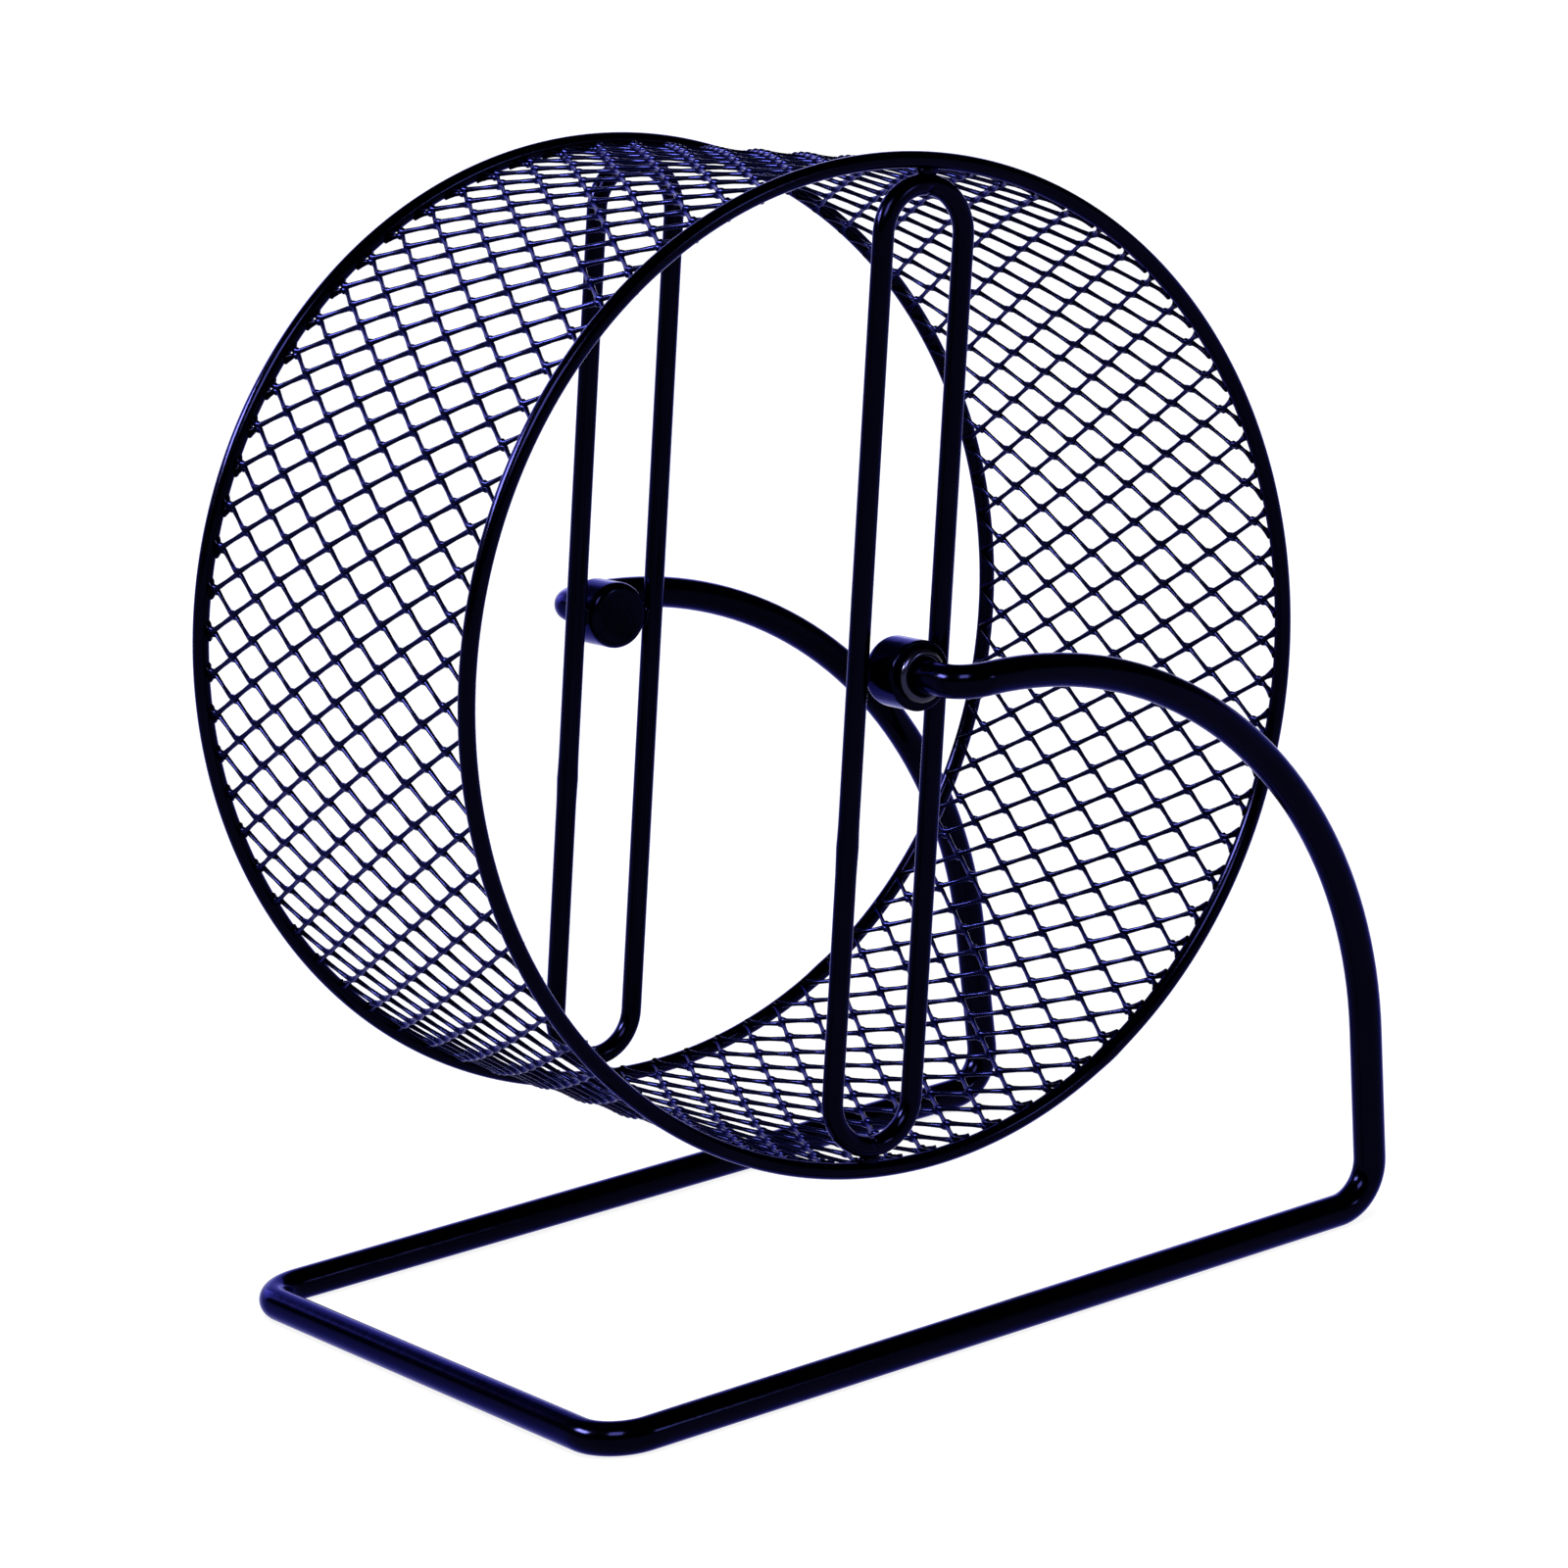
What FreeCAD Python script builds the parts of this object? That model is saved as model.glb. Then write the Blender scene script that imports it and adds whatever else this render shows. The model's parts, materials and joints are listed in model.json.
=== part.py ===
import FreeCAD, Part
import math
import os

import Sketcher
from FreeCAD import Placement, Rotation, Vector

# Rodent exercise wheel on a stand of one bent rod. +Z is up, the axle lies along Y, the front is -Y,
# and the origin is on the floor under the middle of the whole object.

# Driving sizes: name, value in millimetres (degrees or a count where the note says so), note.
SIZES = [
    ("wheel_dia", 180.0, "wheel over its rim wires"),
    ("drum_span", 88.5, "from rim wire to rim wire, centre to centre"),
    ("rest_angle", 9.7, "degrees by which the spoke loops lean to +X at rest"),
    ("floor_gap", 29.0, "free height under the wheel"),
    ("rim_wire", 3.0, "rim wire diameter"),
    ("loop_wire", 3.8, "spoke loop wire diameter"),
    ("loop_rim_gap", 0.8, "from a loop's end to the rim, filled by the weld"),
    ("hub_loop_gap", 0.5, "from the hub to each loop wire, filled by the weld"),
    ("rim_weld_dia", 2.6, "weld between a loop's end and the rim"),
    ("hub_weld_dia", 3.0, "weld between the hub and a loop wire"),
    ("rod_dia", 6.0, "stand rod diameter, also the axle stubs"),
    ("run_clearance", 0.05, "radial clearance of the axle stub in its bush"),
    ("bush_wall", 1.0, "bush wall"),
    ("bush_lip", 0.7, "radial step of the bush flange over its sleeve"),
    ("bush_flange", 1.2, "thickness of the bush flange"),
    ("hub_wall", 2.2, "wall of the hub cup round the bush"),
    ("hub_floor", 1.8, "closed inner end of the hub cup"),
    ("hub_inset", 2.1, "hub cup inside the rim's plane"),
    ("hub_outset", 6.7, "hub cup outside the rim's plane"),
    ("hub_round", 1.6, "rounding of the hub cup's closed end"),
    ("stub_gap", 0.5, "from the axle stub's end to the cup's floor"),
    ("stub_lead", 5.8, "straight run of the axle stub between the bush flange and its bend"),
    ("stub_bend", 5.0, "bend radius from axle stub to arm, on the rod's centre line"),
    ("arm_lead", 1.0, "straight run between the stub's bend and the arm's arc"),
    ("arm_splay", 4.5, "by how much an arm stands further out at the axle than its rail"),
    ("upright_reach", 89.0, "from the axle to the upright's centre line"),
    ("crossbar_reach", 83.0, "from the axle to the crossbar's centre line"),
    ("rail_bend", 8.5, "bend radius from upright to rail"),
    ("corner_bend", 8.5, "bend radius from rail to crossbar"),
    ("mesh_thick", 1.0, "thickness of the expanded metal"),
    ("mesh_strand", 1.3, "width of a mesh strand"),
    ("mesh_inset", 0.5, "mesh outer face inside the rim wire's centre line"),
    ("mesh_edge_gap", 0.05, "weld gap from the mesh edge to the rim wire"),
    ("mesh_panels", 16.0, "count of mesh panels round the drum"),
    ("panel_columns", 3.0, "count of columns of diamond openings in a panel"),
    ("mesh_rows", 9.0, "count of half-pitch rows of openings across the drum"),
]

# Sizes that follow from the driving ones: name, formula, note.
DERIVED = [
    ("axle_height", "wheel_dia / 2 + floor_gap", "axle above the floor"),
    ("back_extent", "max(wheel_dia / 2; crossbar_reach + rod_dia / 2)", "object behind the axle"),
    ("fore_extent", "max(wheel_dia / 2; upright_reach + rod_dia / 2)", "object before the axle"),
    ("axle_x", "(back_extent - fore_extent) / 2", "axle's place along X"),
    ("half_span", "drum_span / 2", "rim plane from the middle"),
    ("rim_radius", "(wheel_dia - rim_wire) / 2", "rim wire's centre line"),
    ("bore_radius", "rod_dia / 2 + run_clearance", "bush bore"),
    ("bush_radius", "bore_radius + bush_wall", "bush sleeve, and the cup's bore"),
    ("lip_radius", "bush_radius + bush_lip", "bush flange"),
    ("hub_radius", "bush_radius + hub_wall", "hub cup"),
    ("loop_half_width", "hub_radius + hub_loop_gap + loop_wire / 2", "loop wire from the loop's middle"),
    ("loop_reach", "wheel_dia / 2 - rim_wire - loop_rim_gap - loop_wire / 2", "end of the loop"),
    ("loop_straight", "loop_reach - loop_half_width", "half of a loop wire's straight run"),
    ("hub_inner", "half_span - hub_inset", "closed end of the cup, along the axle"),
    ("hub_bottom", "hub_inner + hub_floor", "bottom of the cup's bore"),
    ("hub_outer", "half_span + hub_outset", "open end of the cup"),
    ("flange_face", "hub_outer + bush_flange", "outer face of the bush"),
    ("stub_end", "hub_bottom + stub_gap", "end of the axle stub"),
    ("arm_offset", "flange_face + stub_lead + stub_bend", "arms from the middle plane, at the axle"),
    ("rail_offset", "arm_offset - arm_splay", "rails from the middle plane"),
    ("arm_radius", "upright_reach - stub_bend - arm_lead", "arm's arc on the rod's centre line"),
    ("mesh_outer", "rim_radius - mesh_inset", "flat of the mesh's outer face from the axle"),
    ("mesh_length", "drum_span - rim_wire - 2 * mesh_edge_gap", "mesh between the rim wires"),
    ("panel_angle", "360 / mesh_panels", "degrees of the drum that a panel covers"),
    ("flat_angle", "panel_angle / panel_columns", "degrees that one flat of a panel covers"),
]

SIDES = (("front", -1), ("rear", 1))
ALONG_AXLE = Rotation(Vector(1, 0, 0), -90)
AXIS = "axis"


def fill_sheet(doc):
    """Writes the driving sizes and the formulas to the sheet, one aliased cell each."""
    sheet = doc.addObject("Spreadsheet::Sheet", "Sizes")
    rows = [(alias, str(value), note) for alias, value, note in SIZES]
    rows += [(alias, "=" + formula, note) for alias, formula, note in DERIVED]
    for row, (alias, content, note) in enumerate(rows, start=1):
        sheet.set(f"A{row}", note)
        sheet.set(f"B{row}", content)
        sheet.setAlias(f"B{row}", alias)
    doc.recompute()
    return sheet


def bind(obj, **formulas):
    """Ties properties of an object to formulas over the sheet."""
    for name, formula in formulas.items():
        obj.setExpression(name, formula)


def on_wheel(sheet, offset=Vector(), local=Rotation()):
    """Placement of a wheel piece: an offset and a turn in the wheel's own frame, carried to the axle."""
    turn = Rotation(Vector(0, 1, 0), sheet.rest_angle)
    axle = Vector(sheet.axle_x, 0, sheet.axle_height)
    return Placement(axle + turn.multVec(offset), turn.multiply(local))


def rounded_wire(corners, radii):
    """One wire through the corner points, with a tangent arc of the given radius at each inner corner."""
    edges = []
    start = corners[0]
    for before, corner, after, radius in zip(corners, corners[1:], corners[2:], radii):
        back = (before - corner).normalize()
        ahead = (after - corner).normalize()
        half_angle = back.getAngle(ahead) / 2
        setback = radius / math.tan(half_angle)
        middle = (back + ahead).normalize()
        arc_top = corner + middle * (radius / math.sin(half_angle) - radius)
        arc_start = corner + back * setback
        arc_end = corner + ahead * setback
        edges.append(Part.LineSegment(start, arc_start).toShape())
        edges.append(Part.Arc(arc_start, arc_top, arc_end).toShape())
        start = arc_end
    edges.append(Part.LineSegment(start, corners[-1]).toShape())
    return Part.Wire(edges)


def make_stand_rod(doc, sheet):
    """One round rod bent into axle stubs, arms, uprights that lean outwards, rails and the crossbar."""
    upright = sheet.axle_x + sheet.upright_reach
    crossbar = sheet.axle_x - sheet.crossbar_reach
    rail = sheet.rod_dia / 2

    def half(side):
        """Corner points of one side, from the axle stub's end to the crossbar."""
        arm_y = side * sheet.arm_offset
        rail_y = side * sheet.rail_offset
        return [Vector(sheet.axle_x, side * sheet.stub_end, sheet.axle_height),
                Vector(sheet.axle_x, arm_y, sheet.axle_height),
                Vector(upright, arm_y, sheet.axle_height),
                Vector(upright, rail_y, rail),
                Vector(crossbar, rail_y, rail)]

    bends = [sheet.stub_bend, sheet.arm_radius, sheet.rail_bend, sheet.corner_bend]
    path = doc.addObject("Part::Feature", "stand_path")
    path.Shape = rounded_wire(half(-1) + half(1)[::-1], bends + bends[::-1])
    section = doc.addObject("Part::Circle", "stand_section")
    bind(section, Radius="Sizes.rod_dia / 2")
    section.Placement = Placement(half(-1)[0], ALONG_AXLE)
    rod = doc.addObject("Part::Sweep", "stand_rod")
    rod.Sections = [section]
    rod.Spine = (path, [f"Edge{number}" for number in range(1, len(path.Shape.Edges) + 1)])
    rod.Solid = True
    return rod


def make_rim(doc, sheet, name, side):
    """Round wire ring at one side of the drum."""
    rim = doc.addObject("Part::Torus", name)
    bind(rim, Radius1="Sizes.rim_radius", Radius2="Sizes.rim_wire / 2")
    rim.Placement = on_wheel(sheet, Vector(0, side * sheet.half_span, 0), ALONG_AXLE)
    return rim


def make_loop(doc, sheet, name, side):
    """Spoke loop: two straight wires joined by a half ring at each end."""
    pieces = []
    for end in (-1, 1):
        wire = doc.addObject("Part::Cylinder", f"{name}_wire")
        bind(wire, Radius="Sizes.loop_wire / 2", Height="2 * Sizes.loop_straight")
        wire.Placement.Base = Vector(end * sheet.loop_half_width, 0, -sheet.loop_straight)
        bend = doc.addObject("Part::Torus", f"{name}_bend")
        bind(bend, Radius1="Sizes.loop_half_width", Radius2="Sizes.loop_wire / 2")
        bend.Angle3 = 180
        upright = Rotation(Vector(1, 0, 0), 90 * end)
        bend.Placement = Placement(Vector(0, 0, end * sheet.loop_straight), upright)
        pieces += [wire, bend]
    loop = doc.addObject("Part::MultiFuse", name)
    loop.Shapes = pieces
    loop.Placement = on_wheel(sheet, Vector(0, side * sheet.half_span, 0))
    return loop


def revolved_body(doc, sheet, name, outline):
    """Body turned round Y from a closed outline of corners, each a radius and a place on the axle."""
    body = doc.addObject("PartDesign::Body", name)
    plane = next(item for item in body.Origin.OriginFeatures if item.Role == "XY_Plane")
    sketch = body.newObject("Sketcher::SketchObject", f"{name}_profile")
    sketch.AttachmentSupport = [(plane, "")]
    sketch.MapMode = "FlatFace"
    corners = [Vector(getattr(sheet, radius, 0), getattr(sheet, place), 0) for radius, place in outline]
    for corner, following in zip(corners, corners[1:] + corners[:1]):
        sketch.addGeometry(Part.LineSegment(corner, following))
    for index, (radius, place) in enumerate(outline):
        sketch.addConstraint(Sketcher.Constraint("Coincident", index, 2, (index + 1) % len(outline), 1))
        height = sketch.addConstraint(Sketcher.Constraint("DistanceY", -1, 1, index, 1, corners[index].y))
        sketch.setExpression(f"Constraints[{height}]", f"Sizes.{place}")
        if radius == AXIS:
            sketch.addConstraint(Sketcher.Constraint("PointOnObject", index, 1, -2))
            continue
        width = sketch.addConstraint(Sketcher.Constraint("DistanceX", -1, 1, index, 1, corners[index].x))
        sketch.setExpression(f"Constraints[{width}]", f"Sizes.{radius}")
    turned = body.newObject("PartDesign::Revolution", f"{name}_turned")
    turned.Profile = sketch
    turned.ReferenceAxis = (sketch, ["V_Axis"])
    turned.Angle = 360
    doc.recompute()
    return body, turned


def on_hub(sheet, side):
    """Placement of a piece drawn for the rear hub: as it is there, turned end for end at the front."""
    return on_wheel(sheet, local=Rotation(Vector(0, 0, 1), 0 if side > 0 else 180))


def make_hub_cup(doc, sheet, name, side):
    """Turned steel cup between the loop's wires, closed and rounded towards the inside of the wheel."""
    outline = [(AXIS, "hub_inner"), ("hub_radius", "hub_inner"), ("hub_radius", "hub_outer"),
               ("bush_radius", "hub_outer"), ("bush_radius", "hub_bottom"), (AXIS, "hub_bottom")]
    body, turned = revolved_body(doc, sheet, name, outline)
    closed_end = min(turned.Shape.Edges, key=lambda edge: edge.CenterOfMass.y - edge.BoundBox.XMax)
    number = next(i for i, edge in enumerate(turned.Shape.Edges, start=1) if edge.isSame(closed_end))
    rounding = body.newObject("PartDesign::Fillet", f"{name}_rounding")
    rounding.Base = (turned, [f"Edge{number}"])
    bind(rounding, Radius="min(Sizes.hub_round; Sizes.hub_wall; Sizes.hub_floor)")
    body.Placement = on_hub(sheet, side)
    return body


def make_bush(doc, sheet, name, side):
    """Flanged plastic bush pressed into the cup; the axle stub turns in it."""
    outline = [("bore_radius", "hub_bottom"), ("bush_radius", "hub_bottom"), ("bush_radius", "hub_outer"),
               ("lip_radius", "hub_outer"), ("lip_radius", "flange_face"), ("bore_radius", "flange_face")]
    body, _ = revolved_body(doc, sheet, name, outline)
    body.Placement = on_hub(sheet, side)
    return body


def make_welds(doc, name, bars, neighbours):
    """Group of weld nuggets: short round bars, each cut back to the surfaces of the pieces it joins."""
    nuggets = []
    for bar in bars:
        for neighbour in neighbours:
            cut = doc.addObject("Part::Cut", f"{name}_cut")
            cut.Base = bar
            cut.Tool = neighbour
            bar = cut
        nuggets.append(bar)
    group = doc.addObject("Part::Compound", name)
    group.Links = nuggets
    return group


def make_rim_welds(doc, sheet, name, side, loop, rim):
    """Welds between the two ends of a loop and its rim."""
    bars = []
    for end in (-1, 1):
        bar = doc.addObject("Part::Cylinder", f"{name}_bar")
        bind(bar, Radius="Sizes.rim_weld_dia / 2", Height="Sizes.rim_radius - Sizes.loop_reach")
        start = Vector(0, side * sheet.half_span, end * sheet.loop_reach)
        bar.Placement = on_wheel(sheet, start, Rotation(Vector(0, 0, 1), Vector(0, 0, end)))
        bars.append(bar)
    return make_welds(doc, name, bars, [loop, rim])


def make_hub_welds(doc, sheet, name, side, loop, cup):
    """Welds between a hub cup and the two wires of its loop."""
    wall_middle = sheet.bush_radius + sheet.hub_wall / 2
    bars = []
    for end in (-1, 1):
        bar = doc.addObject("Part::Cylinder", f"{name}_bar")
        bind(bar, Radius="Sizes.hub_weld_dia / 2",
             Height="Sizes.loop_half_width - Sizes.bush_radius - Sizes.hub_wall / 2")
        start = Vector(end * wall_middle, side * sheet.half_span, 0)
        bar.Placement = on_wheel(sheet, start, Rotation(Vector(0, 0, 1), Vector(end, 0, 0)))
        bars.append(bar)
    return make_welds(doc, name, bars, [loop, cup])


def mesh_flat(sheet):
    """One flat of the drum: a strip with its column of diamond openings, mitred at the sides."""
    slope = math.tan(math.radians(sheet.flat_angle / 2))
    around = 2 * sheet.mesh_outer * slope
    along = 2 * sheet.mesh_length / sheet.mesh_rows
    diagonal = math.hypot(around, along)
    opening = 1 - sheet.mesh_strand * diagonal / (around * along)
    half_around = opening * around / 2
    half_along = opening * along / 2
    end = -sheet.mesh_length / 2
    inner = sheet.mesh_outer - sheet.mesh_thick
    corners = [Vector(-around / 2, end, sheet.mesh_outer), Vector(around / 2, end, sheet.mesh_outer),
               Vector(inner * slope, end, inner), Vector(-inner * slope, end, inner)]
    strip = Part.Face(Part.makePolygon(corners + corners[:1])).extrude(Vector(0, sheet.mesh_length, 0))
    openings = []
    for row in range(int(sheet.mesh_rows) + 1):
        place = end + row * along / 2
        for x in [0.0] if row % 2 == 0 else [-around / 2, around / 2]:
            tips = [Vector(x - half_around, place, inner), Vector(x, place - half_along, inner),
                    Vector(x + half_around, place, inner), Vector(x, place + half_along, inner)]
            diamond = Part.Face(Part.makePolygon(tips + tips[:1]))
            openings.append(diamond.extrude(Vector(0, 0, sheet.mesh_thick)))
    return strip.cut(openings)


def turned_copies(shape, count, step):
    """Copies of a shape turned round the axle, each a step of degrees on from the last."""
    copies = []
    for number in range(int(count)):
        copy = shape.copy()
        copy.rotate(Vector(), Vector(0, 1, 0), number * step)
        copies.append(copy)
    return copies


def make_mesh_track(doc, sheet, name):
    """Expanded metal running track: panels of joined flats, which meet knot to knot all round the drum."""
    flats = turned_copies(mesh_flat(sheet), sheet.panel_columns, sheet.flat_angle)
    panel = flats[0].multiFuse(flats[1:]).Solids[0]
    track = doc.addObject("Part::Feature", name)
    track.Shape = Part.makeCompound(turned_copies(panel, sheet.mesh_panels, sheet.panel_angle))
    track.Placement = on_wheel(sheet)
    return track


def make_wheel(doc, sheet):
    """All the pieces that turn together: mesh, rims, loops, hubs, bushes and their welds."""
    pieces = [make_mesh_track(doc, sheet, "mesh_track")]
    for word, side in SIDES:
        rim = make_rim(doc, sheet, f"rim_{word}", side)
        loop = make_loop(doc, sheet, f"loop_{word}", side)
        cup = make_hub_cup(doc, sheet, f"hub_cup_{word}", side)
        bush = make_bush(doc, sheet, f"bush_{word}", side)
        rim_welds = make_rim_welds(doc, sheet, f"rim_welds_{word}", side, loop, rim)
        hub_welds = make_hub_welds(doc, sheet, f"hub_welds_{word}", side, loop, cup)
        pieces += [rim, loop, cup, bush, rim_welds, hub_welds]
    return pieces


def write_parts(doc, pieces):
    """Checks every object of the document and every sub-part's shape, then writes one file a sub-part."""
    doc.recompute()
    failed = [obj.Name for obj in doc.Objects if {"Invalid", "Error"} & set(obj.State)]
    failed += [piece.Label for piece in pieces if piece.Shape.isNull() or not piece.Shape.isValid()]
    if failed:
        raise RuntimeError("failed objects: " + ", ".join(failed))
    os.makedirs("parts", exist_ok=True)
    for piece in pieces:
        piece.Shape.exportStep(os.path.join("parts", piece.Label + ".step"))
        print(piece.Label, len(piece.Shape.Solids), round(piece.Shape.Volume, 1))


def main():
    doc = FreeCAD.newDocument("exercise_wheel")
    sheet = fill_sheet(doc)
    pieces = [make_stand_rod(doc, sheet)] + make_wheel(doc, sheet)
    write_parts(doc, pieces)


main()
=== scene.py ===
"""Rodent exercise wheel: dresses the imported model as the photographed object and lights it."""
import json
import logging
import math
from dataclasses import dataclass
from enum import Enum
from typing import Any, Callable, Sequence

import bmesh
import bpy
from mathutils import Matrix, Vector, noise


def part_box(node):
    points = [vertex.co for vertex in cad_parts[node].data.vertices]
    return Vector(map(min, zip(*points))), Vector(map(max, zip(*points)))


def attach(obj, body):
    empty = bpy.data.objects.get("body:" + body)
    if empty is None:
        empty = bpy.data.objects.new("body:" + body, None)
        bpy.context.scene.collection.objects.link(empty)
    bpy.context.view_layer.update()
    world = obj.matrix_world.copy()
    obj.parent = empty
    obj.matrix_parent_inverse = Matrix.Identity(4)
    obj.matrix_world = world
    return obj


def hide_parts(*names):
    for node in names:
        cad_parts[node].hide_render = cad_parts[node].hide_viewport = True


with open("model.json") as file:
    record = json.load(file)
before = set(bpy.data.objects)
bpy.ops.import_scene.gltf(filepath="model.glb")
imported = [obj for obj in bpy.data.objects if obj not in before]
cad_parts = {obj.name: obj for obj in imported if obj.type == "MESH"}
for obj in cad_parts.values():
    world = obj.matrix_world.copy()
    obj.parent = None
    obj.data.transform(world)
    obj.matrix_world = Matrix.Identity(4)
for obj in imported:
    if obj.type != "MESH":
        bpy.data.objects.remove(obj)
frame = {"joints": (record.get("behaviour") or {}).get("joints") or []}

LOG = logging.getLogger("exercise_wheel")
MM = 0.001

# A profile point nearer to the axle than this is a pole.
POLE = 1e-9
# An arc has at least this many steps, and no step turns by more than this many degrees.
ARC_STEPS = 4
ARC_STEP_DEGREES = 6

# Every bond of two mesh strands has this many points, this share of the bond's length apart.
BOND_POINTS = 4
BOND_CROWDING = 0.467
# Strand points nearer to each other than this are one point.
SAME_PLACE = 1e-5
# How fast a strand's swelling falls off beside a knot, and beside a tack on a rim.
KNOT_TAPER = 4.0
TACK_TAPER = 2.0
# Points added to the legs of a strand next to the rims.
TACK_CUTS = 2
# The attribute that holds the painted shade next to a rim, and how fast that shade rises towards a tack.
RIM_SHADE = "painted_rim_shade_amount"
RIM_SHADE_SPREAD = 2.0
# Random Value's sockets for plain numbers: the least and the most that go in, and what comes out.
RANDOM_LEAST = 2
RANDOM_MOST = 3
RANDOM_DRAWN = 1

# The mesh sheet's sums, one to a line: its name, the operation, and the terms. A term is an input of the
# tree, a point's own X, Y or Z, an earlier sum, or a number.
SHEET_SUMS: tuple[tuple[Any, ...], ...] = (
    # A strand's number, and where its rows start: they drift by half a pitch in a turn.
    ("number", "DIVIDE", "X", "Spacing"),
    ("turns", "DIVIDE", "number", "Strands"),
    ("drift", "MULTIPLY", "Half Pitch", -1.0),
    ("row start", "MULTIPLY_ADD", "turns", "drift", "First Row"),
    # Numbered points go to their places along the strand: they crowd at the bonds and stop at the rims.
    ("bonds", "DIVIDE", "Y", BOND_POINTS),
    ("bond", "FLOOR", "bonds"),
    ("point", "WRAP", "Y", BOND_POINTS, 0.0),
    ("off middle", "SUBTRACT", "point", (BOND_POINTS - 1) / 2),
    ("crowding", "MULTIPLY", "Bond Length", BOND_CROWDING),
    ("crowded", "MULTIPLY", "off middle", "crowding"),
    ("from start", "ADD", "crowded", "row start"),
    ("along", "MULTIPLY_ADD", "bond", "Half Pitch", "from start"),
    ("other end", "MULTIPLY", "End", -1.0),
    ("after other end", "MAXIMUM", "along", "other end"),
    ("laid", "MINIMUM", "after other end", "End"),
    # Strands swing from side to side: one swing for each half pitch, and against the next strand.
    ("past start", "SUBTRACT", "Y", "row start"),
    ("rows", "DIVIDE", "past start", "Half Pitch"),
    ("halves", "ADD", "rows", "number"),
    ("zigzag", "PINGPONG", "halves", 1.0),
    ("wave", "MULTIPLY_ADD", "zigzag", -2.0, 1.0),
    ("flat", "DIVIDE", "Bond Length", "Half Pitch"),
    ("sloped", "SUBTRACT", 1.0, "flat"),
    ("steep", "DIVIDE", "wave", "sloped"),
    ("not below", "MAXIMUM", "steep", -1.0),
    ("swing", "MINIMUM", "not below", 1.0),
    ("sideways", "MULTIPLY", "swing", "Swing"),
    ("outwards", "MULTIPLY", "swing", "Raise"),
    # A leg gets a point at its middle, where it is thinnest, and more points next to the rims.
    ("half flat", "DIVIDE", "flat", 2.0),
    ("cycle", "FRACT", "rows"),
    ("past bond", "GREATER_THAN", "cycle", "half flat"),
    ("first half", "LESS_THAN", "cycle", 0.5),
    ("leg start", "MULTIPLY", "past bond", "first half"),
    ("off centre", "ABSOLUTE", "Y"),
    ("to end", "SUBTRACT", "End", "off centre"),
    ("by rim", "LESS_THAN", "to end", "Half Pitch"),
    ("cuts", "MULTIPLY_ADD", "by rim", TACK_CUTS, "leg start"),
    # Strands swell towards the knots, and more where they are tacked to a rim and the enamel has pooled.
    ("from bond", "PINGPONG", "rows", 0.5),
    ("off bond", "MULTIPLY", "from bond", 2.0),
    ("near bond", "SUBTRACT", 1.0, "off bond"),
    ("knot", "POWER", "near bond", KNOT_TAPER),
    ("knot swell", "MULTIPLY", "knot", "Knot Swell"),
    ("off tack", "DIVIDE", "to end", "Tack Reach"),
    ("near tack", "SUBTRACT", 1.0, "off tack"),
    ("at rim", "MAXIMUM", "near tack", 0.0),
    ("tack", "POWER", "at rim", TACK_TAPER),
    ("tack swell", "MULTIPLY", "tack", "Tack Drawn"),
    ("swell", "MAXIMUM", "knot swell", "tack swell"),
    ("fatness", "ADD", "swell", 1.0),
    # Painted shade: next to a rim a strand's colour is darkened, most at the tack.
    ("shade rising", "MULTIPLY", "at rim", RIM_SHADE_SPREAD),
    ("painted_rim_shade", "MINIMUM", "shade rising", 1.0),
    # The flat strip is rolled round the axle.
    ("angle", "DIVIDE", "X", "Radius"),
    ("reach", "ADD", "Z", "Radius"),
    ("sine", "SINE", "angle"),
    ("cosine", "COSINE", "angle"),
    ("rolled x", "MULTIPLY", "reach", "sine"),
    ("rolled z", "MULTIPLY", "reach", "cosine"),
)

SOCKET_KINDS = {int: "NodeSocketInt", float: "NodeSocketFloat", Vector: "NodeSocketVector",
                bpy.types.Material: "NodeSocketMaterial"}


class Side(Enum):
    """The two ends of the axle, each with its sign along Y."""

    FRONT = -1
    REAR = 1

    @property
    def word(self) -> str:
        """The side as the nodes' names spell it."""
        return self.name.lower()


class Body(Enum):
    """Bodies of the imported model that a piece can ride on."""

    STAND = "stand"
    WHEEL = "wheel"


class Slot(Enum):
    """Material slots of the record."""

    STAND = "stand_enamel"
    WIRE = "wire_enamel"
    MESH = "mesh_enamel"
    HUB = "hub_enamel"
    BUSH = "bush_nylon"
    WELD = "weld_enamel"


def linear(colour: str) -> tuple[float, float, float, float]:
    """Turns an sRGB hex colour to linear light.

    Args:
        colour: six hex digits after a hash sign.

    Returns:
        Red, green, blue and an alpha of 1.
    """
    channels = [int(colour[i:i + 2], 16) / 255 for i in (1, 3, 5)]
    light = [c / 12.92 if c <= 0.04045 else ((c + 0.055) / 1.055) ** 2.4 for c in channels]
    return light[0], light[1], light[2], 1.0


def direction(azimuth: float, elevation: float) -> Vector:
    """Points from the object out into the room.

    Args:
        azimuth: turn from the front, which is -Y, towards +X, in radians.
        elevation: angle above the floor, in radians.

    Returns:
        A unit vector.
    """
    level = math.cos(elevation)
    return Vector((math.sin(azimuth) * level, -math.cos(azimuth) * level, math.sin(elevation)))


def put(name: str, data: bpy.types.ID) -> bpy.types.Object:
    """Puts a new object into the scene.

    Args:
        name: the object's name.
        data: its mesh, light or camera.

    Returns:
        The object, at the origin.
    """
    obj = bpy.data.objects.new(name, data)
    bpy.context.scene.collection.objects.link(obj)
    return obj


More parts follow.
